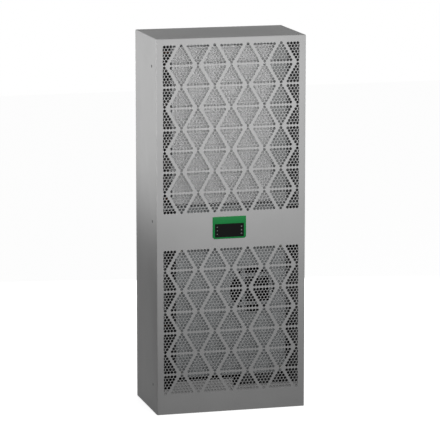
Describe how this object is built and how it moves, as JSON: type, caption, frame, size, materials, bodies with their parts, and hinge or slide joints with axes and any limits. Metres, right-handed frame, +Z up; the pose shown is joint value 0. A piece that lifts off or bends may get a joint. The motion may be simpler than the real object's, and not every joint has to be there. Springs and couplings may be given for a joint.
{
  "type": "enclosure cooling unit",
  "caption": "Upright wall-mounted cooling unit for an electrical enclosure: perforated sheet cover over a refrigeration circuit, with fans, coils and a display.",
  "frame": {"origin": "centre of the base's underside, on the floor plane, midway across the width and midway between the front face and the rear sealing face", "axes": "+Z up, +Y to the rear, towards the enclosure wall; the perforated front with its display faces -Y; +X to the right as seen from the front"},
  "size_m": [0.405, 0.2419, 1],
  "materials": {
    "grey_paint": "textured light grey powder coat",
    "black_screws": "blackened steel",
    "chassis_paint": "light grey powder coat",
    "tray_sheet": "light grey powder coat",
    "seal_foam": "closed-cell foam",
    "zinc_fastener": "zinc plated",
    "galvanised": "zinc-coated sheet, spangled",
    "fin_aluminium": "rolled fin stock, matt",
    "copper_tube": "drawn copper, dull",
    "fan_black": "moulded glass-filled nylon",
    "motor_grey": "die-cast, dark lacquer",
    "stator_metal": "die-cast",
    "tray_plastic": "vacuum-formed",
    "black_rubber": "smooth hose",
    "black_plastic": "moulded",
    "compressor_black": "black enamel",
    "brass_body": "turned",
    "capacitor_can": "drawn can",
    "terminal_plastic": "moulded polyamide",
    "green_bezel": "moulded, satin gloss",
    "window_black": "smoked acrylic",
    "lamp_grey": "light pipe",
    "key_grey": "silicone-tipped",
    "board_green": "solder-resist"
  },
  "bodies": {
    "housing": {"front_cover": "grey_paint", "cover_screws": "black_screws", "rear_chassis": "chassis_paint", "base_tray": "tray_sheet", "rear_gasket": "seal_foam", "rivet_nuts": "zinc_fastener", "mid_partition": "galvanised", "coil_sill": "galvanised", "coil_top_plate": "galvanised", "fan_panel": "galvanised", "plenum_wall": "galvanised", "panel_screws": "zinc_fastener", "condenser_coil": "fin_aluminium", "condenser_end_plates": "galvanised", "condenser_bends": "copper_tube", "coil_side_filler": "galvanised", "condenser_inlet_ring": "fan_black", "condenser_fan_guard": "galvanised", "condenser_stator": "stator_metal", "condenser_motor_bracket": "galvanised", "evaporator_coil": "fin_aluminium", "evaporator_end_plates": "galvanised", "evaporator_bends": "copper_tube", "evaporator_top_plate": "galvanised", "evaporator_inlet_ring": "fan_black", "evaporator_stator": "stator_metal", "evaporator_motor_bracket": "galvanised", "drip_tray": "tray_plastic", "drain_hose": "black_rubber", "drain_spout": "black_plastic", "compressor": "compressor_black", "compressor_bushes": "black_rubber", "compressor_bolts": "zinc_fastener", "compressor_terminal_cover": "black_plastic", "accumulator": "compressor_black", "discharge_pipe": "copper_tube", "liquid_pipe": "copper_tube", "filter_drier": "copper_tube", "capillary_tube": "copper_tube", "suction_pipe": "copper_tube", "pressure_switch": "brass_body", "pipe_grommets": "black_rubber", "electric_box": "galvanised", "electric_box_lid": "galvanised", "run_capacitor": "capacitor_can", "contactor": "black_plastic", "terminal_block": "terminal_plastic", "display_bezel": "green_bezel", "display_window": "window_black", "status_lamps": "lamp_grey", "display_board": "board_green", "display_housing": "black_plastic", "temperature_probe": "zinc_fastener"},
    "condenser_fan": {"condenser_impeller": "fan_black", "condenser_rotor": "motor_grey"},
    "evaporator_fan": {"evaporator_impeller": "fan_black", "evaporator_rotor": "motor_grey"},
    "up_key": {"key_up": "key_grey"},
    "set_key": {"key_set": "key_grey"},
    "down_key": {"key_down": "key_grey"}
  },
  "joints": [
    {"name": "condenser_fan_spin", "type": "hinge", "parent": "housing", "child": "condenser_fan", "pos_m": [0.063, -0.0605, 0.323], "axis": [0, 1, 0], "continuous": true},
    {"name": "evaporator_fan_spin", "type": "hinge", "parent": "housing", "child": "evaporator_fan", "pos_m": [0, 0.0795, 0.8], "axis": [0, 1, 0], "continuous": true},
    {"name": "up_key_press", "type": "slide", "parent": "housing", "child": "up_key", "axis": [0, 1, 0], "range_m": [0, 0.0006], "stiffness_N_per_m": 900, "springref_m": -0.001},
    {"name": "set_key_press", "type": "slide", "parent": "housing", "child": "set_key", "axis": [0, 1, 0], "range_m": [0, 0.0006], "stiffness_N_per_m": 900, "springref_m": -0.001},
    {"name": "down_key_press", "type": "slide", "parent": "housing", "child": "down_key", "axis": [0, 1, 0], "range_m": [0, 0.0006], "stiffness_N_per_m": 900, "springref_m": -0.001}
  ]
}
